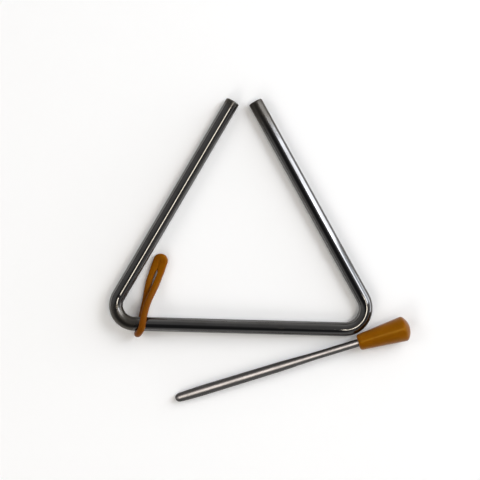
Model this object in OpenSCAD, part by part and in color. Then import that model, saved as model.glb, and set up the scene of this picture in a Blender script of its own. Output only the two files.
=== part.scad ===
// Triangle, a small hand-held percussion instrument, laid down with its beater beside it.
// The bar's long side runs along X, the open corner points to +Y, and Z is up from the table.
// A soft loop hangs on the bar. Its lower strand lies under the bar, so that end is held up a little.

/* [Triangle bar] */
// Outer width across the two bent corners
triangle_w = 150; // [145:1:170]
// Thickness of the round bar
bar_d = 8; // [6:0.5:9]
// Angle inside the left corner, in degrees
left_angle = 61.2; // [58:0.2:63]
// Angle inside the right corner, in degrees
right_angle = 59.6; // [58:0.2:63]
// Radius of the left bend, at the middle of the bar
left_bend_r = 10.5; // [8:0.5:14]
// Radius of the right bend, at the middle of the bar
right_bend_r = 12; // [8:0.5:14]
// How much thinner the bar's radius is in a bend, where the metal was stretched
bend_thinning = 0.1; // [0.1:0.05:0.3]
// Clear gap between the two open ends
open_gap = 5.6; // [5:0.2:12]
// Rounding of the edge of each open end
end_round = 0.8; // [0.4:0.1:2]

/* [Holder loop] */
// Width of the loop's strand, along the bar that it hangs on
strand_w = 3.8; // [3.4:0.1:4.6]
// Thickness of the strand where it goes round the bar
strand_t = 3.4; // [3:0.1:4.4]
// Thickness of the strand in the loop's far turn
turn_t = 4; // [3.4:0.1:4.6]
// Slack between the loop and the bar
loop_slack = 0.2; // [0.1:0.05:0.4]
// Reach of the loop, from the middle of the bar to the middle of its far turn
loop_reach = 36; // [28:1:40]
// Lean of the loop away from square to the bar, in degrees
loop_lean = 13.7; // [8:0.1:18]
// Place of the loop on the bar, past the end of the left bend
loop_past_bend = 5; // [4.6:0.2:12]
// Widest slit between the two strands
slit_gap = 1.2; // [0.6:0.1:2]
// Gap between the strands at the far turn
turn_gap = 0.3; // [0.3:0.05:1]
// How far the strand under the bar lies to the left of the strand over it
strand_split = 1.4; // [0.6:0.2:2.4]
// How much further to the left the loop lies where it goes down past the bar
end_shift = 1.5; // [0:0.1:1.6]

/* [Beater rod] */
// Length of the rod that shows, from its tip to the grip
rod_reach = 109; // [80:0.5:130]
// Length of the rod inside the grip
rod_insert = 22; // [12:1:25]
// Thickness of the striking head at its thickest
head_d = 5.9; // [5:0.1:7]
// Thickness of the head where the neck starts
waist_d = 5.6; // [4.8:0.1:6.6]
// Thickness of the shank between the neck and the grip, and inside the grip
shank_d = 4.4; // [3.6:0.1:4.6]
// Radius of the domed tip
tip_r = 2.5; // [1.5:0.1:2.8]
// Distance from the tip to the thickest place of the head
head_at = 18; // [12:1:24]
// Distance from the tip to the start of the neck
neck_at = 58; // [40:1:64]
// Length of the neck, over which the rod thins
neck_len = 28; // [8:1:34]
// Bevel at the hidden end of the rod
rod_bevel = 0.5; // [0.2:0.1:1]

/* [Beater grip] */
// Length of the grip
grip_len = 30.5; // [28:0.5:36]
// Thickness of the grip just behind its mouth
mouth_d = 9.4; // [8:0.2:10.4]
// Thickness of the grip at its far rim
rim_d = 14.3; // [12:0.1:16]
// Rounding of the mouth's edge
mouth_round = 1.6; // [0.8:0.1:1.7]
// Rounding of the far rim
rim_round = 2.2; // [1:0.1:3]
// Radius of the domed far end
dome_r = 10; // [9:0.5:30]
// Gap all round between the rod and the grip's bore
bore_gap = 0.03; // [0.01:0.01:0.1]
// Lead-in bevel at the mouth of the bore
bore_bevel = 0.35; // [0.1:0.05:0.4]
// Depth of the bore past the rod's end
bore_spare = 1; // [0.5:0.5:3]

/* [Place of the beater] */
// Turn of the beater away from the bar's direction, in degrees
beater_turn = 18.8; // [14:0.2:26]
// Clear gap between the grip's mouth and the right corner
beater_gap = 0.2; // [0.2:0.1:6]
// How far the mouth lies past the point of the beater that is nearest to the right corner
mouth_past = 1.5; // [0:0.1:6]

/* [Hidden] */

// Finish of the curves
round_sides = 64;
arc_steps = 12;

// How far a straight length runs on into the thinner bend, so that they are one solid
bend_lap = 0.5;

// Soft step from 0 to 1, level at both ends
function ease(x) = let(c = min(max(x, 0), 1)) c * c * (3 - 2 * c);
function unit(v) = v / norm(v);
function turned(v, axis, angle) =
    v * cos(angle) + cross(axis, v) * sin(angle) + axis * (axis * v) * (1 - cos(angle));

// The bar, flat: the left corner's sharp point is the origin, and the long side runs along X
bar_r = bar_d / 2;
left_run = left_bend_r / tan(left_angle / 2);
right_run = right_bend_r / tan(right_angle / 2);
base_len = triangle_w + left_run + right_run - left_bend_r - right_bend_r - bar_d;
open_angle = 180 - left_angle - right_angle;
left_side = base_len * sin(right_angle) / sin(open_angle);
right_side = base_len * sin(left_angle) / sin(open_angle);
end_setback = (open_gap / 2 + bar_r * cos(open_angle / 2)) / sin(open_angle / 2);
base_straight = base_len - left_run - right_run;
left_straight = left_side - left_run - end_setback;
right_straight = right_side - right_run - end_setback;
left_bend_c = [left_run, left_bend_r, 0];
right_bend_c = [base_len - right_run, right_bend_r, 0];
left_dir = [cos(left_angle), sin(left_angle), 0];
right_dir = [-cos(right_angle), sin(right_angle), 0];
right_corner = [base_len, 0, 0];

// The bar, laid: it leans on its right leg, and the loop's lower strand lifts the left corner
loop_at = left_run + loop_past_bend;
lift = loop_slack + strand_t;
tilt = asin(lift / ((base_len - loop_at) * sin(right_angle)));
function leant(p) = right_corner + turned(p - right_corner, right_dir, tilt) + [0, 0, bar_r];

// The beater: its outline runs along its own axis, from the tip
head_r = head_d / 2;
waist_r = waist_d / 2;
shank_r = shank_d / 2;
mouth_r = mouth_d / 2;
rim_r = rim_d / 2;
rod_len = rod_reach + rod_insert;
bore_r = shank_r + bore_gap;
function head_radius(s) =
    let(past_dome = (s - tip_r) / (head_at - tip_r))
    s < head_at ? tip_r + (head_r - tip_r) * (1 - pow(1 - past_dome, 2))
                : head_r + (waist_r - head_r) * (s - head_at) / (neck_at - head_at);
function neck_radius(s) = waist_r + (shank_r - waist_r) * ease((s - neck_at) / neck_len);
rod_outline = [
    for (i = [0 : arc_steps - 1]) let(a = 90 * i / arc_steps) tip_r * [sin(a), 1 - cos(a)],
    for (i = [0 : arc_steps]) let(s = tip_r + (head_at - tip_r) * i / arc_steps) [head_radius(s), s],
    for (i = [0 : arc_steps]) let(s = neck_at + neck_len * i / arc_steps) [neck_radius(s), s],
    [shank_r, rod_len - rod_bevel],
    [shank_r - rod_bevel, rod_len]
];

// The grip's outline: two rounded edges, the slanted flank that touches both, and the dome
mouth_c = [mouth_r - mouth_round, mouth_round];
rim_q = rim_r - rim_round;
dome_to_rim = sqrt(pow(dome_r - rim_round, 2) - rim_q * rim_q);
rim_c = [rim_q, grip_len - dome_r + dome_to_rim];
dome_c = [0, grip_len - dome_r];
flank_slope = atan((rim_c.x - mouth_c.x) / (rim_c.y - mouth_c.y));
flank_turn = asin((rim_round - mouth_round) / norm(rim_c - mouth_c)) + flank_slope;
dome_edge = atan(rim_q / dome_to_rim);
grip_outline = [
    [0, 0],
    for (i = [0 : arc_steps]) let(a = -90 + (90 - flank_turn) * i / arc_steps)
        mouth_c + mouth_round * [cos(a), sin(a)],
    for (i = [0 : arc_steps]) let(a = -flank_turn + (90 - dome_edge + flank_turn) * i / arc_steps)
        rim_c + rim_round * [cos(a), sin(a)],
    for (i = [1 : arc_steps]) let(a = 90 - dome_edge + dome_edge * i / arc_steps)
        dome_c + dome_r * [cos(a), sin(a)]
];

// The beater at rest: it touches the table with the grip's rim and with its head
rim_at = rod_reach + rim_c.y;
beater_pitch = atan(min([for (p = rod_outline) if (p.y < rod_reach) (rim_r - p.x) / (rim_at - p.y)]));
grip_reach = [for (p = grip_outline) [p.x, p.y + rod_reach]];
beater_z = max([for (p = concat(rod_outline, grip_reach)) p.x * cos(beater_pitch) - p.y * sin(beater_pitch)]);
beater_dir = [cos(beater_turn), sin(beater_turn), 0];
beater_side = [sin(beater_turn), -cos(beater_turn), 0];
beater_off = right_bend_r + bar_r + beater_gap + mouth_r;
corner_c = leant(right_bend_c);
beater_tip = [corner_c.x, corner_c.y, beater_z] + beater_off * beater_side
           + (mouth_past - rod_reach * cos(beater_pitch)) * beater_dir;

// The whole part is centred on its own outer box, with the table at height 0
right_end_p = leant(right_corner + right_dir * (right_side - end_setback));
left_end_p = leant(left_dir * (left_side - end_setback));
low_x = leant(left_bend_c - [left_bend_r, 0, 0]).x - bar_r + bend_thinning;
high_x = beater_tip.x + max([for (p = grip_reach)
    p.y * cos(beater_pitch) * cos(beater_turn) + p.x * sin(beater_turn)]);
low_y = beater_tip.y + min([for (p = rod_outline)
    p.y * cos(beater_pitch) * sin(beater_turn) - p.x * cos(beater_turn)]);
high_y = right_end_p.y + end_round * (1 - sin(right_angle)) + (bar_r - end_round) * cos(right_angle);
middle = [(low_x + high_x) / 2, (low_y + high_y) / 2, 0];

// The loop: local frame at the bar's middle line, with bar_dir along the bar and up square to it
bar_dir = turned([1, 0, 0], right_dir, tilt);
back_dir = unit([-bar_dir.y, bar_dir.x, 0]);
up_dir = cross(bar_dir, back_dir);
loop_c = leant([loop_at, 0, 0]) - middle;
wrap_r = bar_r + loop_slack + strand_t / 2;
far_side = loop_reach * tan(loop_lean);
near_slope_share = 0.45;
wrap_slope = near_slope_share * tan(loop_lean);
far_extra_lean = 4;
far_lean = loop_lean + far_extra_lean;
far_roll = 8;
wrap_steps = 16;
strand_steps = 26;
turn_steps = 12;
strand_sides = 16;

// The loop's middle line is a curve with four points, two at each end
near_pull_share = 0.33;
far_pull_share = 0.36;
plan_points = [
    [-strand_split / 2, 0],
    [-strand_split / 2, 0] + loop_reach * near_pull_share * [wrap_slope, 1],
    [far_side, loop_reach] - loop_reach * far_pull_share * [tan(far_lean), 1],
    [far_side, loop_reach]
];
function plan(t) = pow(1 - t, 3) * plan_points[0] + 3 * pow(1 - t, 2) * t * plan_points[1]
                 + 3 * (1 - t) * t * t * plan_points[2] + pow(t, 3) * plan_points[3];

// Along the strands, t goes from 0 at the bar to 1 at the far turn. Each change has its own stretch
spread_shares = [0.25, 0.8];
pinch_shares = [0.72, 0.94];
drop_shares = [0, 0.82];
roll_shares = [0.1, 0.85];
swell_shares = [0.55, 0.95];
lean_shares = [0, 0.7];
function stretch(t, shares) = ease((t - shares[0]) / (shares[1] - shares[0]));
function mixed(a, b, f) = a + (b - a) * f;
slit_half = (strand_t + slit_gap) / 2;
turn_r = (turn_t + turn_gap) / 2;
function thick(t) = mixed(strand_t, turn_t, stretch(t, swell_shares));
function half_spread(t) = mixed(strand_split / 2, slit_half, stretch(t, spread_shares))
                        + (turn_r - slit_half) * stretch(t, pinch_shares);
function half_rise(t) = mixed(wrap_r, turn_r * sin(far_roll), stretch(t, drop_shares));
function roll(t) = mixed(90, far_roll, stretch(t, roll_shares));
function across(t) = let(a = far_lean * stretch(t, lean_shares)) [cos(a), -sin(a), 0];
function outward(t) = cos(roll(t)) * across(t) + sin(roll(t)) * up_dir;
function low_z(t) = norm([thick(t) * sin(roll(t)), strand_w * cos(roll(t))]) / 2;
function strand_mid(t) = let(p = plan(t)) [loop_c.x + p.x, loop_c.y + p.y, low_z(t) + half_rise(t)];

// A ring of the strand is its centre, the direction of its thickness, and that thickness
function wrap_shift(a) =
    wrap_r * wrap_slope * sin(a) + end_shift * pow(sin(a), 2) + strand_split / 2 * (1 - cos(a));
function wrap_ring(a) = let(out = cos(a) * up_dir - sin(a) * back_dir)
    [loop_c + wrap_r * out - wrap_shift(a) * bar_dir, out, strand_t];
function strand_ring(t, side) = let(away = half_spread(t) * across(t) + half_rise(t) * up_dir)
    [strand_mid(t) + side * away, side * outward(t), thick(t)];
function turn_ring(a) = let(on = [-across(1).y, across(1).x, 0], out = sin(a) * on - cos(a) * outward(1))
    [strand_mid(1) + turn_r * out, out, turn_t];
loop_rings = [
    for (i = [0 : wrap_steps]) wrap_ring(180 * i / wrap_steps),
    for (i = [1 : strand_steps]) strand_ring(i / strand_steps, -1),
    for (i = [1 : turn_steps - 1]) turn_ring(180 * i / turn_steps),
    for (i = [strand_steps : -1 : 1]) strand_ring(i / strand_steps, 1)
];
ring_count = len(loop_rings);

// Least gap between stretches of the loop that aren't neighbours along it
least_gap = min([for (i = [0 : ring_count - 1], j = [0 : ring_count - 1])
    if (min(abs(i - j), ring_count - abs(i - j)) > turn_steps)
        norm(loop_rings[i][0] - loop_rings[j][0]) - (loop_rings[i][2] + loop_rings[j][2]) / 2]);
echo(least_gap_of_the_loop_to_itself = least_gap);
echo(loop_axis_point = loop_c, loop_axis = bar_dir);
echo(left_end = left_end_p - middle, left_axis = turned(left_dir, right_dir, tilt));
echo(right_end = right_end_p - middle, right_axis = right_dir);
echo(left_straight = left_straight, right_straight = right_straight);
echo(beater_tip = beater_tip - middle, beater_pitch = beater_pitch, right_bend = corner_c - middle);
echo(corners = [leant([0, 0, 0]) - middle, leant(right_corner) - middle]);
echo(box = [high_x - low_x, high_y - low_y]);

// Lays what is drawn flat, and moves it to the part's own frame
module laid() {
    translate([0, 0, bar_r] - middle)
        translate(right_corner) rotate(a = tilt, v = right_dir) translate(-right_corner) children();
}

// A straight leg with a rounded end, from the end of a bend on
module leg(len) {
    translate([0, 0, -bend_lap]) rotate_extrude($fn = round_sides) {
        square([bar_r, len + bend_lap - end_round]);
        square([bar_r - end_round, len + bend_lap]);
        translate([bar_r - end_round, len + bend_lap - end_round])
            circle(r = end_round, $fn = round_sides);
    }
}

module bend(bend_r, from, angle) {
    rotate([0, 0, from]) rotate_extrude(angle = angle, $fn = round_sides)
        translate([bend_r, 0]) circle(r = bar_r - bend_thinning, $fn = round_sides);
}

module triangle_bar() {
    color("dimgray") laid() union() {
        translate(left_bend_c) {
            bend(left_bend_r, 90 + left_angle, 180 - left_angle);
            rotate([0, 0, 90 + left_angle]) translate([left_bend_r, 0, 0])
                rotate([90, 0, 0]) leg(left_straight);
        }
        translate(right_bend_c) {
            bend(right_bend_r, 270, 180 - right_angle);
            rotate([0, 0, 90 - right_angle]) translate([right_bend_r, 0, 0])
                rotate([-90, 0, 0]) leg(right_straight);
            translate([bend_lap, -right_bend_r, 0]) rotate([0, -90, 0])
                cylinder(r = bar_r, h = base_straight + 2 * bend_lap, $fn = round_sides);
        }
    }
}

// One closed strand: rings of points, each joined to the next and the last to the first
function ring_points(i) =
    let(ring = loop_rings[i],
        before = loop_rings[(i + ring_count - 1) % ring_count][0],
        after = loop_rings[(i + 1) % ring_count][0],
        along = unit(after - before),
        wide = unit(cross(along, ring[1])),
        thin = cross(wide, along))
    [for (k = [0 : strand_sides - 1]) let(a = 360 * k / strand_sides)
        ring[0] + ring[2] / 2 * cos(a) * thin + strand_w / 2 * sin(a) * wide];

module holder_loop() {
    points = [for (i = [0 : ring_count - 1]) each ring_points(i)];
    function at(i, k) = (i % ring_count) * strand_sides + k % strand_sides;
    faces = [for (i = [0 : ring_count - 1], k = [0 : strand_sides - 1])
        each [[at(i, k), at(i, k + 1), at(i + 1, k)], [at(i, k + 1), at(i + 1, k + 1), at(i + 1, k)]]];
    color("darkgoldenrod") polyhedron(points = points, faces = faces, convexity = 6);
}

// Turns a piece of the beater from upright, on its tip, to its place on the table
module beater_laid() {
    translate(beater_tip - middle) rotate([0, 0, beater_turn]) rotate([0, 90 - beater_pitch, 0]) children();
}

module beater_rod() {
    color("silver") beater_laid() rotate_extrude($fn = round_sides)
        polygon(concat(rod_outline, [[0, rod_len]]));
}

module beater_grip() {
    color("darkgoldenrod") beater_laid() translate([0, 0, rod_reach]) difference() {
        rotate_extrude($fn = round_sides) polygon(grip_outline);
        translate([0, 0, -bore_spare])
            cylinder(r = bore_r, h = rod_insert + 2 * bore_spare, $fn = round_sides);
        translate([0, 0, -bore_bevel])
            cylinder(r1 = bore_r + 2 * bore_bevel, r2 = bore_r, h = 2 * bore_bevel, $fn = round_sides);
    }
}

triangle_bar();
holder_loop();
beater_rod();
beater_grip();
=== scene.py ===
# %% [markdown]
# # A triangle, its holder loop and its beater
# The instrument is one bent round bar, a soft loop that it hangs from, and a metal beater with a soft
# grip. The solid model is already built, and it is loaded here as a fixed frame. This file gives it its
# looks. Everything is in metres, in the model's own frame: X runs along the long side, Y points at the
# open corner, and Z is up from the table.

import math

import bmesh
import bpy
import numpy as np
from mathutils import Matrix, Vector


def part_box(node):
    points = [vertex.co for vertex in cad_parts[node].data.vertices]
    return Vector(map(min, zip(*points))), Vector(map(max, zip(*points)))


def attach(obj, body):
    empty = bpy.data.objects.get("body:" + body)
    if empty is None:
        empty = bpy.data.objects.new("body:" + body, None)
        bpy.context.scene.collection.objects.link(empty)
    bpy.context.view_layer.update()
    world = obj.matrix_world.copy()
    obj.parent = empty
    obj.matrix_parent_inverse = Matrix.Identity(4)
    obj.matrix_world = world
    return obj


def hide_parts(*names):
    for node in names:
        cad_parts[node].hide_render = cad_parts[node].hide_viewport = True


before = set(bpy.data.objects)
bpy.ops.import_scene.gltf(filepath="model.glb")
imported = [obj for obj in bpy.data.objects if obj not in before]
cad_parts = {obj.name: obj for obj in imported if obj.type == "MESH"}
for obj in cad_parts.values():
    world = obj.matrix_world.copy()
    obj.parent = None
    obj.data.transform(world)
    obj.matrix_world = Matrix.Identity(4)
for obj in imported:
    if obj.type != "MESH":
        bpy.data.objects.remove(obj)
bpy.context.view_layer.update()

# %% [markdown]
# ## The camera
# The picture was taken from straight above, with the object lying on a table. The camera is a little
# turned, so the long side slopes down to the right by 1.6 degrees. A long lens at 0.8 m keeps the view
# flat. The lens follows from two measures: how wide the frame is at the bar, and how far away the camera
# stands.

# %% Place the camera
CAMERA_AT = Vector((-0.01251, 0.00623, 0.804))
CAMERA_ROLL = math.radians(1.6)
FRAME_WIDTH = 0.2736
BAR_HEIGHT = 0.004

lens = bpy.data.cameras.new("camera")
lens.sensor_width = 36
lens.lens = lens.sensor_width * (CAMERA_AT.z - BAR_HEIGHT) / FRAME_WIDTH
lens.clip_start = 0.01
camera = bpy.data.objects.new("camera", lens)
camera.location = CAMERA_AT
camera.rotation_euler = (0, 0, CAMERA_ROLL)
bpy.context.scene.collection.objects.link(camera)
bpy.context.scene.camera = camera
print("focal length in mm:", round(lens.lens, 1))

# %% [markdown]
# ## Small helpers for node trees
# Every finish below is a tree of nodes. A few short helpers make such a tree easier to read. They add a
# node and fill its inputs, make a soft step or cloudy noise, mix two colours, and make or place a group.

# %% Helpers that add a node
def add_node(tree, kind, inputs=None, **settings):
    """Adds a node. An input is named or numbered, and gets a plain value or another node's output."""
    node = tree.nodes.new(kind)
    for key, value in settings.items():
        setattr(node, key, value)
    for key, value in (inputs or {}).items():
        if isinstance(value, bpy.types.NodeSocket):
            tree.links.new(value, node.inputs[key])
        else:
            node.inputs[key].default_value = value
    return node


def math_node(tree, operation, *values):
    return add_node(tree, "ShaderNodeMath", dict(enumerate(values)), operation=operation).outputs[0]


def vector_node(tree, operation, first, second=None, scale=None):
    inputs = {0: first}
    if second is not None:
        inputs[1] = second
    if scale is not None:
        inputs["Scale"] = scale
    node = add_node(tree, "ShaderNodeVectorMath", inputs, operation=operation)
    return node.outputs["Value" if operation in ("DOT_PRODUCT", "LENGTH") else "Vector"]


def step_node(tree, value, low, high, low_out=0.0, high_out=1.0):
    """A soft step from low_out to high_out, as value goes from low to high."""
    node = add_node(tree, "ShaderNodeMapRange", {"Value": value, "From Min": low, "From Max": high,
                    "To Min": low_out, "To Max": high_out}, interpolation_type="SMOOTHSTEP")
    return node.outputs["Result"]


def noise(tree, vector, scale, detail, roughness=0.5, distortion=0.0):
    """Cloudy noise from 0 to 1: scale is in clouds per metre, and detail adds finer ones."""
    node = add_node(tree, "ShaderNodeTexNoise", {"Vector": vector, "Scale": scale, "Detail": detail,
                    "Roughness": roughness, "Distortion": distortion})
    return node.outputs["Fac"]


# %% Helpers for colours and groups
def mix_colours(tree, share, first, second):
    """Several sockets of the Mix node have one name, so they are told apart by their identifiers."""
    node = tree.nodes.new("ShaderNodeMix")
    node.data_type = "RGBA"
    sockets = {s.identifier: s for s in node.inputs}
    for key, value in (("Factor_Float", share), ("A_Color", first), ("B_Color", second)):
        if isinstance(value, bpy.types.NodeSocket):
            tree.links.new(value, sockets[key])
        else:
            sockets[key].default_value = value
    return next(s for s in node.outputs if s.identifier == "Result_Color")


SOCKETS = {"value": "NodeSocketFloat", "vector": "NodeSocketVector", "colour": "NodeSocketColor"}


def shader_group(name, inputs, outputs):
    """A shader node group: inputs is {name: (kind, default)}, outputs is {name: kind}."""
    tree = bpy.data.node_groups.new(name, "ShaderNodeTree")
    for key, (kind, default) in inputs.items():
        socket = tree.interface.new_socket(key, in_out="INPUT", socket_type=SOCKETS[kind])
        if default is not None:
            socket.default_value = default
    for key, kind in outputs.items():
        tree.interface.new_socket(key, in_out="OUTPUT", socket_type=SOCKETS[kind])
    return tree, tree.nodes.new("NodeGroupInput").outputs, tree.nodes.new("NodeGroupOutput").inputs


def placed_group(tree, group, inputs):
    return add_node(tree, "ShaderNodeGroup", inputs, node_tree=group).outputs


# %% [markdown]
# ## Marks that several finishes share
# Plated steel is never a perfect mirror. The plating is a little wavy, fingers leave hazy patches, the
# die that drew the bar leaves lines along it, and the polishing wheel leaves fine lines round it. The
# shine goes first at the cut ends and in a tight bend. Moulded rubber has a fine grain and uneven colour.
# Each of these is one node group that is made once and placed in each material with its own values. The
# metal's patterns are read on the piece's own "stock" coordinates, which lie along and round the bar as
# if it had never been bent, so they follow the bends and have no seam. The rubber's are read in the
# piece's space.

# %% Haze from handling
haze_group, given, out = shader_group("Handling haze",
    {"Vector": ("vector", None), "Patches per metre": ("value", 90.0), "Cover": ("value", 0.5)},
    {"Mask": "value"})
tree = haze_group
patches = noise(tree, given["Vector"], given["Patches per metre"], 5.0, roughness=0.62, distortion=0.6)
specks_per_metre = math_node(tree, "MULTIPLY", given["Patches per metre"], 11.0)
specks = noise(tree, given["Vector"], specks_per_metre, 3.0)
edge = math_node(tree, "SUBTRACT", 0.95, given["Cover"])
soft = step_node(tree, patches, math_node(tree, "SUBTRACT", edge, 0.12), math_node(tree, "ADD", edge, 0.2))
grit = step_node(tree, specks, 0.35, 0.75, 0.55, 1.0)
tree.links.new(math_node(tree, "MULTIPLY", soft, grit), out["Mask"])
print("haze:", len(tree.nodes), "nodes")

# %% Fine lines from the polishing wheel
polish_group, given, out = shader_group("Polishing lines",
    {"Vector": ("vector", None), "Lines per metre": ("value", 2600.0)}, {"Height": "value"})
tree = polish_group
round_the_bar = vector_node(tree, "MULTIPLY", given["Vector"], (0.02, 0.02, 1.0))
lines = noise(tree, round_the_bar, given["Lines per metre"], 4.0, roughness=0.7)
tree.links.new(lines, out["Height"])
print("polishing lines:", len(tree.nodes), "nodes")

# %% Waves in the plating
wave_group, given, out = shader_group("Plating waves",
    {"Vector": ("vector", None), "Waves per metre": ("value", 110.0)}, {"Height": "value"})
tree = wave_group
stretched = vector_node(tree, "MULTIPLY", given["Vector"], (1.0, 1.0, 0.45))
waves = noise(tree, stretched, given["Waves per metre"], 2.5, roughness=0.45)
tree.links.new(waves, out["Height"])
print("waves:", len(tree.nodes), "nodes")

# %% Lines from drawing the bar
draw_group, given, out = shader_group("Draw lines",
    {"Vector": ("vector", None), "Lines per metre": ("value", 1500.0)}, {"Mask": "value"})
tree = draw_group
drawn_out = vector_node(tree, "MULTIPLY", given["Vector"], (1.0, 1.0, 0.025))
streaks = noise(tree, drawn_out, given["Lines per metre"], 2.0, roughness=0.55)
places = noise(tree, given["Vector"], 55.0, 3.0)
streaked = step_node(tree, streaks, 0.5, 0.66)
in_places = step_node(tree, places, 0.42, 0.62)
tree.links.new(math_node(tree, "MULTIPLY", streaked, in_places), out["Mask"])
print("draw lines:", len(tree.nodes), "nodes")

# %% Wear towards a cut end
end_group, given, out = shader_group("Dull ends",
    {"Vector": ("vector", None), "Length": ("value", 0.4), "Reach": ("value", 0.012)}, {"Mask": "value"})
tree = end_group
run = add_node(tree, "ShaderNodeSeparateXYZ", {0: given["Vector"]}).outputs["Z"]
to_end = math_node(tree, "MINIMUM", run, math_node(tree, "SUBTRACT", given["Length"], run))
ragged = math_node(tree, "MULTIPLY", noise(tree, given["Vector"], 260.0, 4.0), 0.006)
shifted = math_node(tree, "ADD", to_end, ragged)
fully_dull = math_node(tree, "MULTIPLY", given["Reach"], 0.4)
tree.links.new(step_node(tree, shifted, fully_dull, given["Reach"], 1.0, 0.0), out["Mask"])
print("dull ends:", len(tree.nodes), "nodes")

# %% A stretch of dull plating
stretch_group, given, out = shader_group("Dull stretch",
    {"Vector": ("vector", None), "From": ("value", 0.0), "To": ("value", 0.02),
     "Soft edge": ("value", 0.006)},
    {"Mask": "value"})
tree = stretch_group
run = add_node(tree, "ShaderNodeSeparateXYZ", {0: given["Vector"]}).outputs["Z"]
ragged = math_node(tree, "SUBTRACT", noise(tree, given["Vector"], 240.0, 5.0, roughness=0.6), 0.5)
place = math_node(tree, "ADD", run, math_node(tree, "MULTIPLY", ragged, 0.02))
begun = step_node(tree, math_node(tree, "SUBTRACT", place, given["From"]), 0.0, given["Soft edge"])
ended = step_node(tree, math_node(tree, "SUBTRACT", given["To"], place), 0.0, given["Soft edge"])
tree.links.new(math_node(tree, "MULTIPLY", begun, ended), out["Mask"])
print("dull stretch:", len(tree.nodes), "nodes")

# %% Skin of moulded rubber
skin_group, given, out = shader_group("Moulded skin",
    {"Vector": ("vector", None), "Light": ("colour", (0.3, 0.12, 0.01, 1)),
     "Dark": ("colour", (0.2, 0.07, 0.0, 1)), "Grain per metre": ("value", 2200.0)},
    {"Colour": "colour", "Height": "value", "Gloss loss": "value"})
tree = skin_group
cloudy = noise(tree, given["Vector"], 130.0, 5.0, roughness=0.6, distortion=0.4)
grain = noise(tree, given["Vector"], given["Grain per metre"], 3.0, roughness=0.6)
scuffs = noise(tree, vector_node(tree, "MULTIPLY", given["Vector"], (1.0, 0.25, 1.0)), 900.0, 2.0)
scuffed = step_node(tree, scuffs, 0.6, 0.75)
colour = mix_colours(tree, step_node(tree, cloudy, 0.3, 0.7), given["Dark"], given["Light"])
rough_places = math_node(tree, "MULTIPLY", cloudy, 0.5)
tree.links.new(colour, out["Colour"])
tree.links.new(math_node(tree, "ADD", grain, math_node(tree, "MULTIPLY", scuffed, 0.6)), out["Height"])
tree.links.new(math_node(tree, "ADD", rough_places, math_node(tree, "MULTIPLY", scuffed, 0.5)),
               out["Gloss loss"])
print("moulded skin:", len(tree.nodes), "nodes")

# %% [markdown]
# ## The four finishes
# The bar is plated and polished steel. Lying under a dim ceiling it looks dark grey, with bright bands
# where it mirrors the lamps, so its own colour is a dark, neutral metal. It is dull in the left bend and
# towards the right end. The beater's rod is ground steel, much less smooth: the grinding lines run round
# it, so they spread a lamp along the rod into one soft band. Its colour here is darker than such steel
# is, only because its own strong lamp makes up for that, so under other light the rod looks too dark. The
# loop and the grip are moulded in the same orange-brown rubber. Light goes a little way into it, which
# softens the crease between the loop's strands.
# The loop is painted darker where it wraps the bar: that is painted shade.

# %% A start for every finish
def new_finish(name):
    finish = bpy.data.materials.new(name)
    finish.use_nodes = True
    return finish, finish.node_tree, finish.node_tree.nodes["Principled BSDF"]


def bumped(tree, height, distance, normal=None):
    inputs = {"Height": height, "Distance": distance, "Strength": 1.0}
    if normal is not None:
        inputs["Normal"] = normal
    return add_node(tree, "ShaderNodeBump", inputs).outputs["Normal"]


def spread_along(tree, shader, axis):
    """Fine lines round a turned piece spread a highlight along its axis."""
    tangent = add_node(tree, "ShaderNodeVectorTransform", {0: axis}, vector_type="VECTOR",
                       convert_from="OBJECT", convert_to="WORLD").outputs[0]
    tree.links.new(tangent, shader.inputs["Tangent"])
    shader.inputs["Anisotropic"].default_value = 0.5


# %% Plated steel
END_WEAR, END_ROUGHNESS = 0.8, 0.12
EDGE_SHINE = (0.55, 0.55, 0.55, 1)


def plated_steel(name, clean, dull, smooth, rough, length, wave_depth, line_depth, cover, end_colour,
                 end_reach, dull_stretches=(), spread=None):
    """Clean and dull are its colours, and smooth and rough the roughness of each. A dull stretch is given
    as where it starts and ends along the bar, and how soft its edges are."""
    finish, tree, shader = new_finish(name)
    stock = add_node(tree, "ShaderNodeAttribute", attribute_name="stock").outputs["Vector"]
    haze = placed_group(tree, haze_group, {"Vector": stock, "Cover": cover})["Mask"]
    ends = placed_group(tree, end_group, {"Vector": stock, "Length": length, "Reach": end_reach})["Mask"]
    waves = placed_group(tree, wave_group, {"Vector": stock})["Height"]
    lines = placed_group(tree, polish_group, {"Vector": stock})["Height"]
    streaks = placed_group(tree, draw_group, {"Vector": stock})["Mask"]
    colour = mix_colours(tree, math_node(tree, "MAXIMUM", haze, streaks), clean, dull)
    for start, end, edge in dull_stretches:
        stretch = placed_group(tree, stretch_group,
                               {"Vector": stock, "From": start, "To": end, "Soft edge": edge})
        ends = math_node(tree, "MAXIMUM", ends, stretch["Mask"])
    tree.links.new(mix_colours(tree, ends, colour, end_colour), shader.inputs["Base Color"])
    worn = math_node(tree, "MAXIMUM", haze, math_node(tree, "MULTIPLY", ends, END_WEAR))
    roughness = step_node(tree, worn, 0.0, 1.0, smooth, rough)
    if dull_stretches:
        roughness = math_node(tree, "ADD", roughness, math_node(tree, "MULTIPLY", ends, END_ROUGHNESS))
    tree.links.new(roughness, shader.inputs["Roughness"])
    normal = bumped(tree, waves, wave_depth)
    tree.links.new(bumped(tree, lines, line_depth, normal), shader.inputs["Normal"])
    if spread:
        spread_along(tree, shader, spread)
    shader.inputs["Metallic"].default_value = 1.0
    shader.inputs["Specular Tint"].default_value = EDGE_SHINE
    return finish


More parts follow.
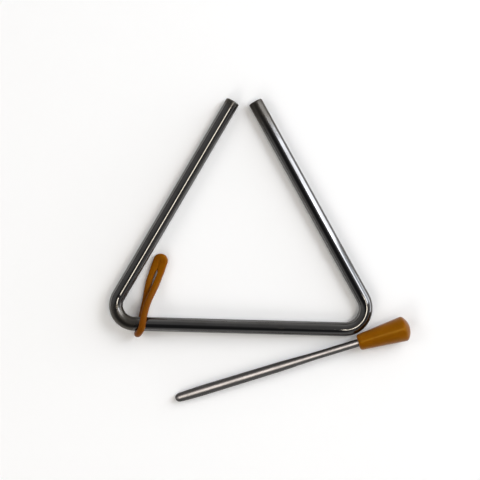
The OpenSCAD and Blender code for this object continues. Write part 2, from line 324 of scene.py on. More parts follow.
# %% Plated bar and rod
# The bar's own length is set once it is made. The rod keeps this longer one, so only its tip is worn.
LONG_STOCK = 0.4
TURN, PITCH = math.radians(18.8), math.radians(1.9698)
BEATER_DIR = Vector((math.cos(PITCH) * math.cos(TURN), math.cos(PITCH) * math.sin(TURN), math.sin(PITCH)))
bar_finish = plated_steel("polished plating", clean=(0.165, 0.162, 0.16, 1), dull=(0.125, 0.12, 0.115, 1),
                          smooth=0.06, rough=0.2, length=LONG_STOCK, wave_depth=0.00003,
                          line_depth=0.0000006, cover=0.42, end_colour=(0.105, 0.096, 0.084, 1),
                          end_reach=0.012, dull_stretches=((0.133, 0.158, 0.006), (0.401, 0.45, 0.016)))
rod_finish = plated_steel("ground plating", clean=(0.1, 0.096, 0.096, 1), dull=(0.085, 0.082, 0.082, 1),
                          smooth=0.46, rough=0.52, length=LONG_STOCK, wave_depth=0.00001,
                          line_depth=0.0000012, cover=0.5, end_colour=(0.07, 0.066, 0.064, 1),
                          end_reach=0.004, spread=BEATER_DIR)
print("metal finishes:", bar_finish.name, "and", rod_finish.name)


# %% Moulded rubber
def moulded_rubber(name, light, dark, smooth, rough, grain_depth, grain, specular, tint, painted_shade=None,
                   spread=None):
    """Light and dark are its colours. A place of painted shade is given as its middle, where it begins to
    fade, where it ends, and its colour: the rubber is painted that darker colour there, as if in shade."""
    finish, tree, shader = new_finish(name)
    place = add_node(tree, "ShaderNodeTexCoord").outputs["Object"]
    skin = placed_group(tree, skin_group,
                        {"Vector": place, "Light": light, "Dark": dark, "Grain per metre": grain})
    colour = skin["Colour"]
    # Painted shade: near the given place the rubber turns to a darker colour, which fades back with
    # distance.
    if painted_shade:
        centre, near, far, shade_colour = painted_shade
        away = vector_node(tree, "LENGTH", vector_node(tree, "SUBTRACT", place, centre))
        colour = mix_colours(tree, step_node(tree, away, near, far), shade_colour, colour)
    tree.links.new(colour, shader.inputs["Base Color"])
    roughness = step_node(tree, skin["Gloss loss"], 0.15, 0.8, smooth, rough)
    tree.links.new(roughness, shader.inputs["Roughness"])
    tree.links.new(bumped(tree, skin["Height"], grain_depth), shader.inputs["Normal"])
    shader.inputs["Specular IOR Level"].default_value = specular
    shader.inputs["Specular Tint"].default_value = tint
    if spread:
        spread_along(tree, shader, spread)
    shader.inputs["Subsurface Weight"].default_value = 0.4
    shader.inputs["Subsurface Radius"].default_value = (1.0, 0.4, 0.1)
    shader.inputs["Subsurface Scale"].default_value = 0.0008
    return finish


# %% Rubber of the loop and the grip
LOOP_AT = Vector((-66.302, -42.9142, 7.6)) / 1000
# The loop is painted darker where it wraps the bar, as painted shade, so it is lighter towards the far
# turn.
loop_finish = moulded_rubber("moulded loop rubber", light=(0.278, 0.092, 0.002, 1),
                             dark=(0.208, 0.063, 0.001, 1), smooth=0.42, rough=0.62, grain_depth=0.000012,
                             grain=2600.0, specular=0.12, tint=(1.0, 0.62, 0.2, 1),
                             painted_shade=(LOOP_AT, 0.012, 0.03, (0.175, 0.052, 0.002, 1)))
grip_finish = moulded_rubber("moulded grip rubber", light=(0.188, 0.063, 0.001, 1),
                             dark=(0.16, 0.052, 0.001, 1), smooth=0.29, rough=0.37, grain_depth=0.0000015,
                             grain=3000.0, specular=0.27, tint=(1.0, 0.65, 0.1, 1), spread=BEATER_DIR)
print("rubber finishes:", loop_finish.name, "and", grip_finish.name)

# %% [markdown]
# ## One tree that lofts every piece
# All four pieces are rings of points in a row: along the bent bar, round the closed loop, and along the
# turned rod and grip. One Geometry Nodes tree makes them all. It gets a chain of points, one for each
# ring, and each point carries two arrows: from the ring's centre to its edge across the thickness, and
# across the width. The tree sweeps a circle along the chain, and then puts each point of each ring where
# its arrows say.

# %% The loft tree: its inputs
loft = bpy.data.node_groups.new("Loft through rings", "GeometryNodeTree")
loft.interface.new_socket("Chain", in_out="INPUT", socket_type="NodeSocketGeometry")
sides_input = loft.interface.new_socket("Sides", in_out="INPUT", socket_type="NodeSocketInt")
sides_input.default_value = 64
pattern_input = loft.interface.new_socket("Pattern radius", in_out="INPUT", socket_type="NodeSocketFloat")
caps_input = loft.interface.new_socket("Close the ends", in_out="INPUT", socket_type="NodeSocketBool")
finish_input = loft.interface.new_socket("Finish", in_out="INPUT", socket_type="NodeSocketMaterial")
loft.interface.new_socket("Piece", in_out="OUTPUT", socket_type="NodeSocketGeometry")
given = loft.nodes.new("NodeGroupInput").outputs
print("inputs of the loft:", [socket.name for socket in given if socket.name])

# %% The loft tree: a circle swept along the chain
# The circle's own size doesn't matter, because the next cell puts every point in its place.
path = add_node(loft, "GeometryNodeMeshToCurve", {"Mesh": given["Chain"]}).outputs["Curve"]
keep_centre = loft.nodes.new("GeometryNodeCaptureAttribute")
keep_centre.capture_items.new("VECTOR", "Centre")
loft.links.new(path, keep_centre.inputs[0])
loft.links.new(loft.nodes.new("GeometryNodeInputPosition").outputs[0], keep_centre.inputs[1])

circle = add_node(loft, "GeometryNodeCurvePrimitiveCircle", {"Resolution": given["Sides"], "Radius": 0.001})
turn = math_node(loft, "MULTIPLY", loft.nodes.new("GeometryNodeInputIndex").outputs[0],
                 math_node(loft, "DIVIDE", 2 * math.pi, given["Sides"]))
keep_angle = loft.nodes.new("GeometryNodeCaptureAttribute")
keep_angle.capture_items.new("FLOAT", "Angle")
loft.links.new(circle.outputs["Curve"], keep_angle.inputs[0])
loft.links.new(turn, keep_angle.inputs[1])

sweep = add_node(loft, "GeometryNodeCurveToMesh", {"Curve": keep_centre.outputs[0],
                 "Profile Curve": keep_angle.outputs[0], "Fill Caps": given["Close the ends"]})
print("nodes so far:", len(loft.nodes))


# %% The loft tree: each point in its place
def squared(value, power):
    """A power below 1 brings the value nearer to 1 or -1, which makes a round section squarer."""
    return math_node(loft, "MULTIPLY", math_node(loft, "SIGN", value),
                     math_node(loft, "POWER", math_node(loft, "ABSOLUTE", value), power))


def carried(name, kind):
    """What each point of the chain carries under that name."""
    node = add_node(loft, "GeometryNodeInputNamedAttribute", {"Name": name}, data_type=kind)
    return node.outputs["Attribute"]


across = squared(math_node(loft, "COSINE", keep_angle.outputs[1]), carried("square", "FLOAT"))
aside = squared(math_node(loft, "SINE", keep_angle.outputs[1]), carried("square", "FLOAT"))
from_centre = vector_node(loft, "ADD",
                          vector_node(loft, "SCALE", carried("thin", "FLOAT_VECTOR"), scale=across),
                          vector_node(loft, "SCALE", carried("wide", "FLOAT_VECTOR"), scale=aside))
place = vector_node(loft, "ADD", keep_centre.outputs[1], from_centre)
placed = add_node(loft, "GeometryNodeSetPosition",
                  {"Geometry": sweep.outputs["Mesh"], "Position": place}).outputs["Geometry"]
print("nodes so far:", len(loft.nodes))

# %% The loft tree: stock coordinates and finish
on_stock = add_node(loft, "ShaderNodeCombineXYZ", {
    0: math_node(loft, "MULTIPLY", across, given["Pattern radius"]),
    1: math_node(loft, "MULTIPLY", aside, given["Pattern radius"]),
    2: carried("run", "FLOAT")}).outputs[0]
stored = add_node(loft, "GeometryNodeStoreNamedAttribute",
                  {"Geometry": placed, "Name": "stock", "Value": on_stock},
                  data_type="FLOAT_VECTOR", domain="POINT").outputs["Geometry"]
smooth = add_node(loft, "GeometryNodeSetShadeSmooth", {"Geometry": stored}).outputs["Geometry"]
real = add_node(loft, "GeometryNodeRealizeInstances", {"Geometry": smooth}).outputs["Geometry"]
finished = add_node(loft, "GeometryNodeSetMaterial", {"Geometry": real, "Material": given["Finish"]})
loft.links.new(finished.outputs["Geometry"], loft.nodes.new("NodeGroupOutput").inputs["Piece"])
print("nodes in all:", len(loft.nodes))


# %% Make a piece with it
def lofted(name, centres, thin, wide, run, sides, pattern_radius, finish, closed=False, square=None):
    """A piece through rings of points: one row of each array for one ring."""
    count = len(centres)
    chain = bpy.data.meshes.new(name)
    links = [(i, i + 1) for i in range(count - 1)] + ([(count - 1, 0)] if closed else [])
    chain.from_pydata([tuple(c) for c in centres], links, [])
    for key, values in (("thin", thin), ("wide", wide)):
        chain.attributes.new(key, "FLOAT_VECTOR", "POINT").data.foreach_set("vector", np.ravel(values))
    for key, values in (("run", run), ("square", square or [1.0] * count)):
        chain.attributes.new(key, "FLOAT", "POINT").data.foreach_set("value", np.ravel(values))
    piece = bpy.data.objects.new(name, chain)
    bpy.context.scene.collection.objects.link(piece)
    maker = piece.modifiers.new("loft", "NODES")
    maker.node_group = loft
    for socket, value in ((sides_input, sides), (pattern_input, pattern_radius), (caps_input, not closed),
                          (finish_input, finish)):
        maker[socket.identifier] = value
    made = bpy.data.meshes.new_from_object(piece.evaluated_get(bpy.context.evaluated_depsgraph_get()))
    piece.modifiers.clear()
    piece.data = made
    bpy.data.meshes.remove(chain)
    made.name = name
    for key in ("thin", "wide", "run", "square"):
        made.attributes.remove(made.attributes[key])
    face_outwards(made)
    return piece


def face_outwards(mesh):
    """Turns every face outwards, and prints what the finished mesh measures."""
    shape = bmesh.new()
    shape.from_mesh(mesh)
    bmesh.ops.recalc_face_normals(shape, faces=shape.faces)
    volume = shape.calc_volume(signed=True) * 1e9
    open_edges = sum(not e.is_manifold for e in shape.edges)
    shape.to_mesh(mesh)
    shape.free()
    print(f"{mesh.name}: {len(mesh.polygons)} faces, {volume:.0f} mm3, {open_edges} open edges")


def compare_boxes(piece, node):
    """How far the piece's box is from the box of the CAD node that it replaces, in mm."""
    points = np.array([v.co for v in piece.data.vertices])
    low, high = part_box(node)
    off = np.concatenate([points.min(0) - np.array(low), points.max(0) - np.array(high)]) * 1000
    print(f"{piece.name} against the CAD node, in mm:", off.round(2))


# %% [markdown]
# ## The bar
# The real one is a straight length of round steel, cut, lightly rounded at both ends, bent twice round a
# pin, and then plated. Its line is three straight runs and two arcs. It could be a curve with a bevel,
# but the rounded ends and the slightly thinned bends come easier when each ring has its own size. The
# four points below are the middle of each end and the two sharp corners, as in the solid model.

# %% Runs and bends
def straight_run(start, end, count):
    return [(start.lerp(end, i / count), (end - start).normalized(), 0.0) for i in range(count + 1)]


def bend_run(before, corner, after, radius, count):
    """Points on the arc that rounds a corner, the direction at each, and how bent the bar is there."""
    into, away = (corner - before).normalized(), (after - corner).normalized()
    turn_angle = into.angle(away)
    setback = radius * math.tan(turn_angle / 2)
    pole = into.cross(away).normalized()
    start = corner - into * setback
    centre = start + pole.cross(into) * radius
    arc = []
    for i in range(count + 1):
        turned = Matrix.Rotation(turn_angle * i / count, 3, pole)
        bent = math.sin(math.pi * i / count) ** 0.35
        arc.append((centre + turned @ (start - centre), turned @ into, bent))
    return arc


# %% The bar's middle line
STEPS = 40
BEND_RADII = (0.0105, 0.012)
bar_points = [Vector(p) / 1000 for p in ((-18.6905, 85.1346, 4.33641), (-89.0485, -42.9095, 8.20476),
                                         (69.1033, -42.9423, 4.0), (-6.14026, 85.3073, 4.0))]
left_end, left_corner, right_corner, right_end = bar_points
left_bend = bend_run(left_end, left_corner, right_corner, BEND_RADII[0], STEPS)
right_bend = bend_run(left_corner, right_corner, right_end, BEND_RADII[1], STEPS)
line = (straight_run(left_end, left_bend[0][0], STEPS)[:-1] + left_bend
        + straight_run(left_bend[-1][0], right_bend[0][0], STEPS)[1:-1] + right_bend
        + straight_run(right_bend[-1][0], right_end, STEPS)[1:])
flat_normal = (left_corner - left_end).cross(right_corner - left_corner).normalized()
print("points on the bar's line:", len(line))

# %% Rings that close a cut end
# The rings of a flat face would lie in one plane, so each one is set back from the last by a hair.
BAR_RADIUS, END_ROUND, BEND_THINNING = 0.004, 0.0008, 0.0001
FACE_RINGS, EDGE_RINGS = 9, 12
SMALLEST_RING, HAIR = 0.0002, 1e-7


def end_rings(at, outward, radius, rounding):
    """From the middle of the flat face, over its rounded edge, to the full radius. Each ring is its centre,
    its radius, and how far it lies past the full radius, as measured over the surface."""
    rings = [(at - outward * HAIR * i, ring_radius, radius - ring_radius)
             for i, ring_radius in enumerate(np.linspace(SMALLEST_RING, radius - rounding, FACE_RINGS))]
    for i in range(1, EDGE_RINGS + 1):
        a = math.pi / 2 * i / EDGE_RINGS
        centre = at - outward * rounding * (1 - math.cos(a))
        rings.append((centre, radius - rounding + rounding * math.sin(a), rounding * (1 - a / 2)))
    return rings


# %% The bar's rings
first_along, last_along = line[0][1], line[-1][1]
bar_rings = [(centre, first_along, radius, -past)
             for centre, radius, past in end_rings(left_end, -first_along, BAR_RADIUS, END_ROUND)]
distance = END_ROUND
previous = left_end + first_along * END_ROUND
for centre, along, bent in line[1:-1]:
    distance += (centre - previous).length
    previous = centre
    bar_rings.append((centre, along, BAR_RADIUS - BEND_THINNING * bent, distance))
distance += (right_end - last_along * END_ROUND - previous).length
for centre, radius, past in reversed(end_rings(right_end, last_along, BAR_RADIUS, END_ROUND)):
    bar_rings.append((centre, last_along, radius, distance + past))
bar_length = distance + END_ROUND
print("bar length in mm:", round(bar_length * 1000, 1))

# %% The bar itself
END_MARGIN = 0.002
centres, alongs, radii, runs = zip(*bar_rings)
thin = [flat_normal.cross(along).normalized() * radius for along, radius in zip(alongs, radii)]
wide = [flat_normal * radius for radius in radii]
runs = [run + END_MARGIN for run in runs]
bar = lofted("plated_bar", centres, thin, wide, runs, 96, BAR_RADIUS, bar_finish)
for placed_node in bar_finish.node_tree.nodes:
    if placed_node.type == "GROUP" and placed_node.node_tree == end_group:
        placed_node.inputs["Length"].default_value = bar_length + 2 * END_MARGIN
compare_boxes(bar, "triangle_bar")
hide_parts("triangle_bar")
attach(bar, "triangle")

# %% [markdown]
# ## The holder loop
# The loop is one closed ring of moulded rubber. It was slid on over an open end, and it lies on the table
# with one strand over the bar and one under it. The strands lean over, draw together, and open again into
# a rounded turn, with a narrow slit between them. The path follows the same rules as the solid model,
# with more rings. Only the far turn differs: there the strands are pressed together, and their section
# grows squarer, as soft rubber does when it is folded.

# %% Sizes of the loop
BAR_DIR = Vector((0.999647, -0.000207259, -0.0265774))
BACK_DIR = Vector((-BAR_DIR.y, BAR_DIR.x, 0)).normalized()
UP_DIR = BAR_DIR.cross(BACK_DIR)
# The strand is thicker in the far turn, where its two sides are pressed together.
STRAND_W, STRAND_T, TURN_T, PRESSED = 0.0038, 0.0034, 0.0046, 0.0009
# The two strands lie a little apart along the bar, and the back of the wrap is moved along it too.
STRAND_SPLIT, BACK_SHIFT, BAR_SLACK = 0.0014, 0.0015, 0.0002
LOOP_REACH, SLIT = 0.036, 0.0012
LOOP_LEAN = math.radians(13.7)
FAR_LEAN, FAR_ROLL = LOOP_LEAN + math.radians(4), math.radians(8)
WRAP_R = BAR_RADIUS + BAR_SLACK + STRAND_T / 2
WRAP_SLOPE = 0.45 * math.tan(LOOP_LEAN)
# Half of what separates the strands' middles beside the slit, and in the turn.
SLIT_HALF, TURN_R = (STRAND_T + SLIT) / 2, (TURN_T - PRESSED) / 2
# Seen from above, the middle between the strands runs along a Bezier curve with these two handles.
NEAR_HANDLE, FAR_HANDLE = LOOP_REACH * 0.33, LOOP_REACH * 0.36
PLAN_START = np.array([-STRAND_SPLIT / 2, 0])
PLAN_END = np.array([LOOP_REACH * math.tan(LOOP_LEAN), LOOP_REACH])
PLAN = [PLAN_START, PLAN_START + NEAR_HANDLE * np.array([WRAP_SLOPE, 1]),
        PLAN_END - FAR_HANDLE * np.array([math.tan(FAR_LEAN), 1]), PLAN_END]
print("the far turn from the bar, along it and across it, in mm:", (PLAN_END * 1000).round(1))


# %% How the strand changes on its way
# In each rule, t goes from 0 at the bar to 1 at the far turn.
def ease(t, low=0.0, high=1.0):
    c = min(max((t - low) / (high - low), 0), 1)
    return c * c * (3 - 2 * c)


def mixed(a, b, share):
    return a + (b - a) * share


def thickness(t):
    return mixed(STRAND_T, TURN_T, ease(t, 0.78, 0.94))


def half_spread(t):
    slit = mixed(STRAND_SPLIT / 2, SLIT_HALF, ease(t, 0.25, 0.76))
    return slit + (TURN_R - SLIT_HALF) * ease(t, 0.82, 0.94)


def half_rise(t):
    return mixed(WRAP_R, TURN_R * math.sin(FAR_ROLL), ease(t, 0, 0.82))


def roll(t):
    return mixed(math.pi / 2, FAR_ROLL, ease(t, 0.1, 0.85))


def sideways(t):
    a = FAR_LEAN * ease(t, 0, 0.7)
    return Vector((math.cos(a), -math.sin(a), 0))


def outward(t):
    return math.cos(roll(t)) * sideways(t) + math.sin(roll(t)) * UP_DIR


def square(t):
    """The power of the strand's section: 1 is an ellipse, and less is squarer."""
    return 1.0 - 0.4 * ease(t, 0.3, 0.8)


def half_height(t):
    """Half of the strand's height as it lies on the table, rolled and squared."""
    high, flat = thickness(t) * math.sin(roll(t)) / 2, STRAND_W * math.cos(roll(t)) / 2
    return max(high * math.cos(a) ** square(t) + flat * math.sin(a) ** square(t)
               for a in np.linspace(0, math.pi / 2, 46)[:-1])


def strand_middle(t):
    p = ((1 - t) ** 3 * PLAN[0] + 3 * (1 - t) ** 2 * t * PLAN[1]
         + 3 * (1 - t) * t * t * PLAN[2] + t ** 3 * PLAN[3])
    return Vector((LOOP_AT.x + p[0], LOOP_AT.y + p[1], half_height(t) + half_rise(t)))


print("strand thickness at the bar and the turn, in mm:", [round(thickness(t) * 1000, 1) for t in (0, 1)])


# %% The loop's rings
# A ring is its centre, the way outwards, the strand's thickness, and the power of its section.
def wrap_ring(a):
    out = math.cos(a) * UP_DIR - math.sin(a) * BACK_DIR
    shift = (WRAP_R * WRAP_SLOPE * math.sin(a) + BACK_SHIFT * math.sin(a) ** 2
             + STRAND_SPLIT / 2 * (1 - math.cos(a)))
    return LOOP_AT + WRAP_R * out - shift * BAR_DIR, out, STRAND_T, square(0)


def strand_ring(t, sign):
    away = half_spread(t) * sideways(t) + half_rise(t) * UP_DIR
    return strand_middle(t) + sign * away, sign * outward(t), thickness(t), square(t)


def turn_ring(a):
    on = Vector((-sideways(1).y, sideways(1).x, 0))
    out = math.sin(a) * on - math.cos(a) * outward(1)
    return strand_middle(1) + TURN_R * out, out, TURN_T, square(1)


WRAP_STEPS, STRAND_STEPS, TURN_STEPS = 48, 78, 36
loop_rings = ([wrap_ring(math.pi * i / WRAP_STEPS) for i in range(WRAP_STEPS + 1)]
              + [strand_ring(i / STRAND_STEPS, -1) for i in range(1, STRAND_STEPS + 1)]
              + [turn_ring(math.pi * i / TURN_STEPS) for i in range(1, TURN_STEPS)]
              + [strand_ring(i / STRAND_STEPS, 1) for i in range(STRAND_STEPS, 0, -1)])
print("rings of the loop:", len(loop_rings))

# %% The loop itself
centres, outs, thicknesses, powers = zip(*loop_rings)
thin, wide, runs, distance = [], [], [], 0.0
for i, (centre, out, thick) in enumerate(zip(centres, outs, thicknesses)):
    following = centres[(i + 1) % len(centres)]
    along = (following - centres[i - 1]).normalized()
    flat = along.cross(out).normalized()
    thin.append(flat.cross(along) * thick / 2)
    wide.append(flat * STRAND_W / 2)
    runs.append(distance)
    distance += (following - centre).length
loop = lofted("rubber_loop", centres, thin, wide, runs, 48, STRAND_W / 2, loop_finish, closed=True,
              square=powers)
compare_boxes(loop, "holder_loop")
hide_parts("holder_loop")
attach(loop, "loop")
print("loop length in mm:", round(distance * 1000, 1))

# %% [markdown]
# ## The beater
# The rod is turned from round steel: a long head with a domed tip, a neck, and a thin shank that runs on
# inside the grip. The grip is moulded round the shank: a narrow mouth, a straight flare, a rounded rim
# and a domed end. Both are round about one line, which rises a little, because the grip's rim and the
# head touch the table.

# %% The beater's line, and a turned piece on it
TIP = Vector((-46.8134, -85.3472, 2.48824)) / 1000
BEATER_SIDE = BEATER_DIR.cross(Vector((0, 0, 1))).normalized()
BEATER_UP = BEATER_SIDE.cross(BEATER_DIR)
BEATER_PATTERN_R = 0.004


def turned_piece(name, outline, sides, finish):
    """A round piece from its outline: (distance from the tip, radius) for each ring, in metres."""
    run = np.concatenate([[0], np.cumsum([math.dist(a, b) for a, b in zip(outline, outline[1:])])])
    centres = [TIP + BEATER_DIR * (s + HAIR * i) for i, (s, _) in enumerate(outline)]
    return lofted(name, centres, [BEATER_SIDE * r for _, r in outline], [BEATER_UP * r for _, r in outline],
                  run, sides, BEATER_PATTERN_R, finish)


# %% The rod
ROD_REACH, ROD_INSERT, ROD_BEVEL = 0.109, 0.022, 0.0005
HEAD_R, WAIST_R, SHANK_R, TIP_R = 0.00295, 0.0028, 0.0022, 0.0025
HEAD_AT, NECK_AT, NECK_LEN = 0.018, 0.058, 0.028
FIRST_ANGLE = 0.04  # of the tip's smallest ring, in radians


def rod_radius(s):
    """The rod's radius at a distance s from its tip."""
    if s < HEAD_AT:
        return TIP_R + (HEAD_R - TIP_R) * (1 - (1 - (s - TIP_R) / (HEAD_AT - TIP_R)) ** 2)
    if s < NECK_AT:
        return mixed(HEAD_R, WAIST_R, (s - HEAD_AT) / (NECK_AT - HEAD_AT))
    return mixed(WAIST_R, SHANK_R, ease(s, NECK_AT, NECK_AT + NECK_LEN))


rod_end = ROD_REACH + ROD_INSERT
rod_outline = [(TIP_R * (1 - math.cos(a)), TIP_R * math.sin(a))
               for a in np.linspace(FIRST_ANGLE, math.pi / 2, 20)[:-1]]
rod_outline += [(s, rod_radius(s)) for s in np.linspace(TIP_R, NECK_AT + NECK_LEN, 90)]
rod_outline += [(s, SHANK_R) for s in np.linspace(NECK_AT + NECK_LEN, rod_end - ROD_BEVEL, 20)[1:]]
rod_outline += [(rod_end, SHANK_R - ROD_BEVEL), (rod_end, SMALLEST_RING)]
rod = turned_piece("plated_rod", rod_outline, 72, rod_finish)
compare_boxes(rod, "beater_rod")
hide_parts("beater_rod")
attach(rod, "beater")

# %% Where the grip's arcs meet
GRIP_LEN, MOUTH_R, RIM_R, MOUTH_ROUND, RIM_ROUND, DOME_R = 0.0305, 0.0047, 0.00715, 0.0016, 0.0022, 0.010
mouth_centre = np.array([MOUTH_R - MOUTH_ROUND, MOUTH_ROUND])
rim_inset = RIM_R - RIM_ROUND
dome_to_rim = math.sqrt((DOME_R - RIM_ROUND) ** 2 - rim_inset ** 2)
rim_centre = np.array([rim_inset, GRIP_LEN - DOME_R + dome_to_rim])
slope = math.atan2(rim_centre[0] - mouth_centre[0], rim_centre[1] - mouth_centre[1])
flank = math.asin((RIM_ROUND - MOUTH_ROUND) / np.linalg.norm(rim_centre - mouth_centre)) + slope
dome_edge = math.atan(rim_inset / dome_to_rim)
print("the grip's flank leans out by", round(math.degrees(flank), 1), "degrees")

# %% The grip
BORE_R, BORE_BEVEL, BORE_DEPTH = SHANK_R + 0.00003, 0.00035, ROD_INSERT + 0.001
LAST_ANGLE = 0.02  # of the dome's smallest ring, in radians


def arc(centre, radius, start, end, count):
    angles = np.linspace(start, end, count)
    return [tuple(centre + radius * np.array([math.cos(a), math.sin(a)])) for a in angles]


mouth_arc = arc(mouth_centre, MOUTH_ROUND, -math.pi / 2, -flank, 16)
rim_arc = arc(rim_centre, RIM_ROUND, -flank, math.pi / 2 - dome_edge, 22)
dome_centre = np.array([0, GRIP_LEN - DOME_R])
dome_arc = arc(dome_centre, DOME_R, math.pi / 2 - dome_edge, math.pi / 2 - LAST_ANGLE, 24)
flank_line = [tuple(np.array(mouth_arc[-1]) * (1 - f) + np.array(rim_arc[0]) * f)
              for f in np.linspace(0, 1, 24)[1:-1]]
bore = [(SMALLEST_RING, BORE_DEPTH), (BORE_R, BORE_DEPTH)]
bore += [(BORE_R, s) for s in np.linspace(ROD_INSERT, BORE_BEVEL, 12)] + [(BORE_R + BORE_BEVEL, 0.0)]
grip_outline = [(ROD_REACH + s, r) for r, s in bore + mouth_arc + flank_line + rim_arc + dome_arc[1:]]
grip = turned_piece("rubber_grip", grip_outline, 96, grip_finish)
compare_boxes(grip, "beater_grip")
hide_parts("beater_grip")
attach(grip, "beater")

# %% [markdown]
# ## Floor, lamps and surroundings
# The object lies on a plain white floor that keeps its shadow. Polished metal shows what is around it, so
# the surroundings matter as much as the lamps: a dim grey room with a few darker parts, a window of
# several panes to the right, and a narrow lamp nearly overhead that draws the thin line along the left
# leg. The fills only brighten the floor and the rubber, so glossy rays don't see them, and the bends stay
# dark. The rod and the grip each have a lamp straight above, because a lamp there for all would put a
# white line on the whole bar. That has a cost: the rod's lamp is far stronger than plain light, and the
# rod looks right only under it. A brighter rod under plainer lamps would be the better way.

# %% White floor
SEEN_WHITE, LIT_WHITE = (1, 1, 1, 1), (0.78, 0.78, 0.78, 1)
floor_mesh = bpy.data.meshes.new("floor")
shape = bmesh.new()
bmesh.ops.create_circle(shape, cap_ends=True, segments=96, radius=5.0)
shape.to_mesh(floor_mesh)
shape.free()
floor = bpy.data.objects.new("floor", floor_mesh)
bpy.context.scene.collection.objects.link(floor)
floor_finish, tree, shader = new_finish("white table")
rays = tree.nodes.new("ShaderNodeLightPath").outputs
in_view = math_node(tree, "MAXIMUM", rays["Is Camera Ray"],
                    math_node(tree, "MAXIMUM", rays["Is Glossy Ray"], rays["Is Transmission Ray"]))
tree.links.new(mix_colours(tree, in_view, LIT_WHITE, SEEN_WHITE), shader.inputs["Base Color"])
shader.inputs["Roughness"].default_value = 1.0
shader.inputs["Specular IOR Level"].default_value = 0.0
floor_mesh.materials.append(floor_finish)
print("floor:", len(floor_mesh.polygons), "face")


# %% Window and fills
def soft_lamp(name, azimuth, tilt, width, height, radiance, colour, distance=1.6, mirrored=True):
    """A flat lamp that faces the object: azimuth from +X, tilt from straight up, both in degrees."""
    a, b = math.radians(azimuth), math.radians(tilt)
    away = Vector((math.cos(a) * math.sin(b), math.sin(a) * math.sin(b), math.cos(b)))
    lamp = bpy.data.lights.new(name, "AREA")
    lamp.shape, lamp.size, lamp.size_y = "RECTANGLE", width, height
    lamp.energy = radiance * math.pi * width * height
    lamp.color = colour
    holder = bpy.data.objects.new(name, lamp)
    holder.location = away * distance
    holder.rotation_euler = away.to_track_quat("Z", "Y").to_euler()
    holder.visible_camera = False
    holder.visible_glossy = mirrored
    bpy.context.scene.collection.objects.link(holder)
    return holder


WINDOW = 6.0
DAYLIGHT, SHADED_DAYLIGHT, CREAM = (0.89, 0.93, 1.0), (0.8, 0.9, 1.0), (1.0, 0.97, 0.93)
soft_lamp("window, tall pane", 32, 62, 0.24, 2.0, WINDOW, DAYLIGHT)
soft_lamp("window, upper pane", 19, 40, 0.45, 0.55, WINDOW, DAYLIGHT)
soft_lamp("window, shaded pane", 19, 65, 0.45, 0.76, 0.3 * WINDOW, SHADED_DAYLIGHT)
soft_lamp("window, low pane", 6, 86, 1.15, 0.5, 0.75 * WINDOW, DAYLIGHT)
soft_lamp("low light beside the window", -52, 86, 0.5, 0.5, 0.7 * WINDOW, DAYLIGHT)
soft_lamp("fill on the upper right", 58, 48, 0.45, 0.6, 4.5, CREAM, mirrored=False)
soft_lamp("fill on the left", 174, 46, 0.42, 0.8, 3.8, CREAM, mirrored=False)
soft_lamp("fill on the lower left", 241, 48, 0.6, 0.8, 3.6, CREAM, mirrored=False)

# %% Narrow lamp for the left leg
YELLOWISH = (1.0, 0.92, 0.78)
ACROSS_LEG, ALONG_LEG = Vector((0.878, -0.478, 0)), Vector((0.478, 0.878, 0))


def turn_to_left_leg(lamp, across, along):
    """Puts a lamp in a direction given across and along the left leg, and turns it in line with the leg."""
    flat = ACROSS_LEG * across + ALONG_LEG * along
    away = (flat + Vector((0, 0, math.sqrt(1 - flat.length_squared)))).normalized()
    lamp.location = away * lamp.location.length
    side = (ACROSS_LEG - away * ACROSS_LEG.dot(away)).normalized()
    lamp.rotation_euler = Matrix((side.cross(away), side, away)).transposed().to_euler()


strip = soft_lamp("strip", 0, 0, 0.62, 0.36, 8.0, YELLOWISH, distance=2.2)
turn_to_left_leg(strip, across=0.31, along=0.04)
print("strip lamp at:", [round(c, 2) for c in strip.location])


# %% Lamps for the beater alone
def lights_only(lamp, piece):
    """Keeps a lamp's light on one piece, as a tube of black card round the lamp does."""
    lit = bpy.data.collections.new("lit by the " + lamp.name)
    lit.objects.link(piece)
    lamp.light_linking.receiver_collection = lit


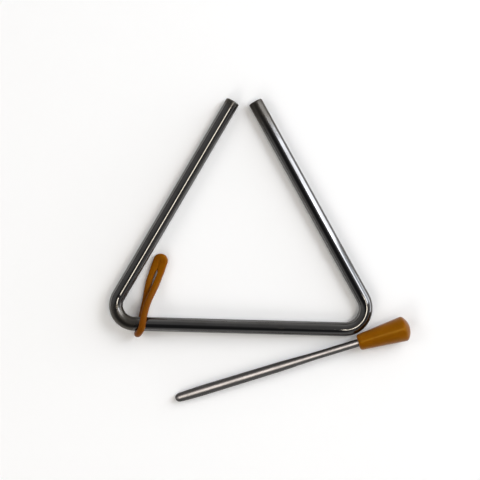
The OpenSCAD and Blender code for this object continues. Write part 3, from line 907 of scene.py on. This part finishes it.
WARM = (1.0, 0.93, 0.86)
lights_only(soft_lamp("lamp over the rod", 109, 2, 1.3, 1.3, 17.5, WARM), rod)
lights_only(soft_lamp("lamp over the grip", 109, 2, 0.28, 0.28, 34.0, WARM), grip)

# %% Dim room
CEILING, NEAR_WALL, FAR_WALL = (0.24, 0.238, 0.24, 1), (0.42, 0.415, 0.41, 1), (0.62, 0.61, 0.6, 1)
DARK_PART = (0.045, 0.045, 0.048, 1)
world = bpy.data.worlds.new("dim room")
bpy.context.scene.world = world
world.use_nodes = True
tree = world.node_tree
toward = add_node(tree, "ShaderNodeTexCoord").outputs["Generated"]
facing = add_node(tree, "ShaderNodeSeparateXYZ", {0: toward}).outputs
walls = mix_colours(tree, step_node(tree, facing["Y"], -0.3, 0.8), NEAR_WALL, FAR_WALL)
room = mix_colours(tree, step_node(tree, facing["Z"], 0.1, 1.0), walls, CEILING)
print("room:", len(tree.nodes), "nodes")


# %% Darker parts of the room
def dark_patch(azimuth, tilt, inner, outer, strength):
    """Full strength within the inner angle from a direction, nothing past the outer one, all in degrees."""
    a, b = math.radians(azimuth), math.radians(tilt)
    d = (math.cos(a) * math.sin(b), math.sin(a) * math.sin(b), math.cos(b))
    return step_node(tree, vector_node(tree, "DOT_PRODUCT", toward, d),
                     math.cos(math.radians(outer)), math.cos(math.radians(inner)), 0.0, strength)


dark = dark_patch(245, 34, inner=20, outer=36, strength=1.0)
for azimuth, tilt, inner, outer, strength in ((215, 8, 5, 15, 1.0), (-29, 46, 8, 26, 0.6),
                                              (151, 86, 15, 45, 0.4)):
    dark = math_node(tree, "MAXIMUM", dark, dark_patch(azimuth, tilt, inner, outer, strength))
background = tree.nodes["Background"]
tree.links.new(mix_colours(tree, dark, room, DARK_PART), background.inputs["Color"])
background.inputs["Strength"].default_value = 1.0
print("room with its darker parts:", len(tree.nodes), "nodes")

# %% [markdown]
# ## Finish
# The picture is shown with the plain Standard view, so colours come out as they are written.

# %% The plain view
bpy.context.scene.view_settings.view_transform = "Standard"
